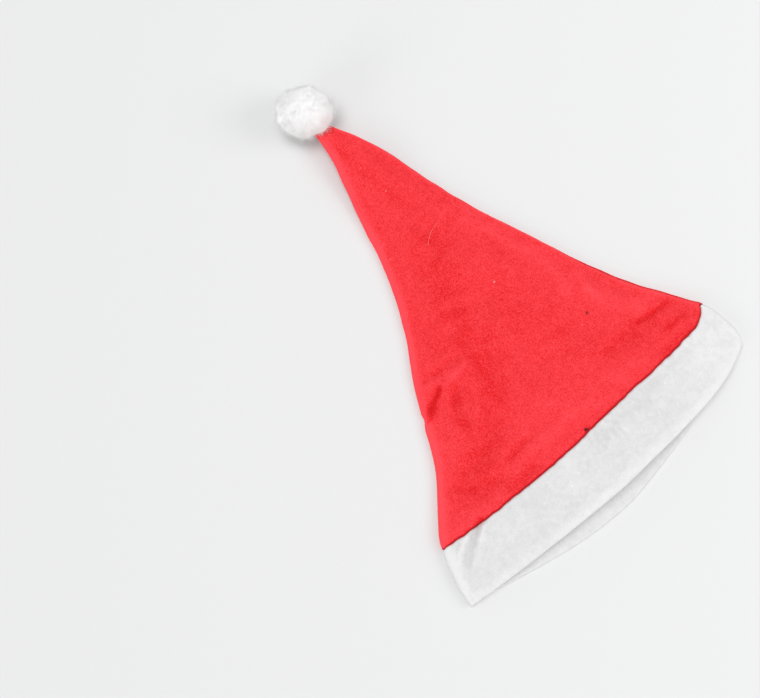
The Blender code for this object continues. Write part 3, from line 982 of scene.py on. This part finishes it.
def fibre_material(name, colour, other, scale, sheen, subsurface):
    """Loose fibre, whose tone changes a little from tuft to tuft."""
    material = bpy.data.materials.new(name)
    material.use_nodes = True
    nodes, links = material.node_tree.nodes, material.node_tree.links
    shader = nodes["Principled BSDF"]
    place = nodes.new("ShaderNodeTexCoord").outputs["Object"]
    tone = spread_range(nodes, links, add_noise(nodes, links, place, scale, 3.0, 0.6), 0.35, 0.65)
    mix = nodes.new("ShaderNodeMix")
    mix.data_type = "RGBA"
    mix.inputs["A"].default_value = colour
    mix.inputs["B"].default_value = other
    links.new(tone, mix.inputs["Factor"])
    links.new(mix.outputs["Result"], shader.inputs["Base Color"])
    shader.inputs["Roughness"].default_value = 0.9
    shader.inputs["Specular IOR Level"].default_value = 0.2
    shader.inputs["Sheen Weight"].default_value = sheen
    shader.inputs["Subsurface Weight"].default_value = subsurface
    shader.inputs["Subsurface Radius"].default_value = (1.0, 1.0, 1.0)
    shader.inputs["Subsurface Scale"].default_value = 0.008
    return material


def add_floor():
    bpy.ops.mesh.primitive_plane_add(size=FLOOR_SIZE)
    floor = bpy.context.object
    floor.name = "floor"
    material = bpy.data.materials.new("floor_paper")
    material.use_nodes = True
    shader = material.node_tree.nodes["Principled BSDF"]
    shader.inputs["Base Color"].default_value = (0.74, 0.742, 0.745, 1.0)
    shader.inputs["Roughness"].default_value = 0.8
    shader.inputs["Specular IOR Level"].default_value = 0.1
    floor.data.materials.append(material)


def add_sun(name, way, strength, spread):
    """A broad soft light that comes from a direction."""
    data = bpy.data.lights.new(name, "SUN")
    data.energy = strength
    data.angle = math.radians(spread)
    lamp = bpy.data.objects.new(name, data)
    bpy.context.scene.collection.objects.link(lamp)
    lamp.location = Vector(way)
    lamp.rotation_mode = "QUATERNION"
    lamp.rotation_quaternion = (-Vector(way)).to_track_quat("-Z", "Y")


def add_window():
    """A broad soft lamp at the picture's right, which makes that side a little brighter."""
    data = bpy.data.lights.new("window", "AREA")
    data.energy = WINDOW_POWER
    data.size = WINDOW_SIZE
    lamp = bpy.data.objects.new("window", data)
    bpy.context.scene.collection.objects.link(lamp)
    lamp.location = Vector(WINDOW_PLACE)
    lamp.rotation_mode = "QUATERNION"
    lamp.rotation_quaternion = (-Vector(WINDOW_PLACE)).to_track_quat("-Z", "Y")


def add_lights():
    scene = bpy.context.scene
    world = bpy.data.worlds.new("studio")
    world.use_nodes = True
    world.node_tree.nodes["Background"].inputs["Color"].default_value = (1.0, 1.0, 1.0, 1.0)
    world.node_tree.nodes["Background"].inputs["Strength"].default_value = WORLD_STRENGTH
    scene.world = world
    for name, way, strength, spread in SUNS:
        add_sun(name, way, strength, spread)
    add_window()
    scene.view_settings.view_transform = "Standard"
    scene.view_settings.look = "None"


def add_camera():
    data = bpy.data.cameras.new("camera")
    data.lens = CAMERA_LENS
    data.sensor_width = 36.0
    camera = bpy.data.objects.new("camera", data)
    bpy.context.scene.collection.objects.link(camera)
    aim = Vector(hat_to_frame(np.array((*CAMERA_AIM, 0.0))))
    back = Vector(
        (
            math.sin(CAMERA_AZIMUTH) * math.cos(CAMERA_ELEVATION),
            -math.cos(CAMERA_AZIMUTH) * math.cos(CAMERA_ELEVATION),
            math.sin(CAMERA_ELEVATION),
        )
    )
    camera.location = aim + back * CAMERA_DISTANCE
    camera.rotation_mode = "QUATERNION"
    camera.rotation_quaternion = (-back).to_track_quat("-Z", "Y")
    data.clip_start = 0.01
    data.clip_end = 20.0
    bpy.context.scene.camera = camera


clear_scene()
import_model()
CUFF_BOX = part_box("cuff")
CROWN_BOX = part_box("crown")
HAT_ORIGIN = (CUFF_BOX[0][0] - SECTIONS[0, 1] * MM, CROWN_BOX[1][1] - TIP_Y * MM, 0.0)

red_felt = felt_material(
    "red_felt",
    # painted shade for grooves and creases
    (0.27, 0.0, 0.008, 1.0),
    (0.70, 0.0, 0.002, 1.0),
    (1.0, 0.060, 0.078, 1.0),
    (1.0, 0.14, 0.15, 1.0),
    grain=0.76,
    painted_light_share=0.30,
    bump=0.45,
)
white_felt = felt_material(
    "white_felt",
    # painted shade for grooves and creases
    (0.36, 0.36, 0.37, 1.0),
    (0.62, 0.616, 0.62, 1.0),
    (0.76, 0.755, 0.76, 1.0),
    (0.86, 0.86, 0.86, 1.0),
    grain=0.42,
    painted_light_share=0.36,
    bump=0.25,
)
red_nap = fibre_material(
    "red_nap",
    colour=(0.84, 0.02, 0.03, 1.0),
    other=(0.98, 0.075, 0.09, 1.0),
    scale=300.0,
    sheen=0.15,
    subsurface=0.0,
)
white_nap = fibre_material(
    "white_nap",
    colour=(0.74, 0.74, 0.74, 1.0),
    other=(0.84, 0.84, 0.84, 1.0),
    scale=300.0,
    sheen=0.2,
    subsurface=0.0,
)
cotton = fibre_material(
    "cotton",
    colour=(0.96, 0.96, 0.957, 1.0),
    other=(0.99, 0.99, 0.987, 1.0),
    scale=160.0,
    sheen=0.9,
    subsurface=0.0,
)
packed = fibre_material(
    "packed_cotton",
    colour=(0.92, 0.92, 0.917, 1.0),
    other=(0.95, 0.95, 0.947, 1.0),
    scale=160.0,
    sheen=0.9,
    subsurface=1.0,
)
dark_thread = fibre_material(
    "dark_thread",
    colour=(0.15, 0.0, 0.004, 1.0),
    other=(0.28, 0.004, 0.012, 1.0),
    scale=300.0,
    sheen=0.1,
    subsurface=0.0,
)
pale_fluff = fibre_material(
    "pale_fluff",
    colour=(0.95, 0.36, 0.38, 1.0),
    other=(0.97, 0.62, 0.62, 1.0),
    scale=300.0,
    sheen=0.2,
    subsurface=0.0,
)
white_thread = fibre_material(
    "white_thread",
    colour=(0.80, 0.80, 0.79, 1.0),
    other=(0.88, 0.88, 0.87, 1.0),
    scale=900.0,
    sheen=0.2,
    subsurface=0.0,
)


def off_the_floor(middles, normals):
    return (middles[:, 2] > 0.8) & (normals[:, 2] > -0.6)


crown_piece = crown(red_felt)
cuff_piece = cuff(white_felt)
core_piece = pompom(packed)
crown_nap = nap("crown_nap", crown_piece, 36000, 61, off_the_floor, NAP_LENGTHS, NAP_RISE, red_nap)
cuff_nap = nap("cuff_nap", cuff_piece, 26000, 71, off_the_floor, NAP_LENGTHS, NAP_RISE, white_nap)
fibres_near = pompom_fibres("pompom_fibres", 9000, 81, (2.5, 6.0), cotton)
fibres_far = pompom_fibres("pompom_wisps", 7000, 91, (2.5, 9.0), cotton)
stitches = seam_stitches("seam_stitches", white_thread)
crown_top = places_of(crown_piece)
fibre_ends = ((15.0, 182.0), (36.0, 191.0))
loose_fibre = lying_fibre("loose_fibre", fibre_ends, 2.2, 0.13, crown_top, pale_fluff)
lint = tangle("lint", (32.6, 124.8), 26, 1.3, 0.09, 101, crown_top, pale_fluff)
speck = tangle("speck", (68.8, 56.3), 30, 1.7, 0.12, 102, crown_top, dark_thread)
thread_knot = tangle("thread_knot", (0.6, -8.6), 60, 2.0, 0.20, 103, crown_top, dark_thread)

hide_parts("crown")
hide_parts("cuff")
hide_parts("pompom")
for piece, slot in (
    (crown_piece, "red_felt"),
    (crown_nap, "red_felt"),
    (cuff_piece, "white_felt"),
    (cuff_nap, "white_felt"),
    (core_piece, "white_fibre"),
    (fibres_near, "white_fibre"),
    (fibres_far, "white_fibre"),
    (stitches, "white_felt"),
    (loose_fibre, "red_felt"),
    (lint, "red_felt"),
    (speck, "red_felt"),
    (thread_knot, "red_felt"),
):
    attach(piece, "root")

add_floor()
add_lights()
add_camera()
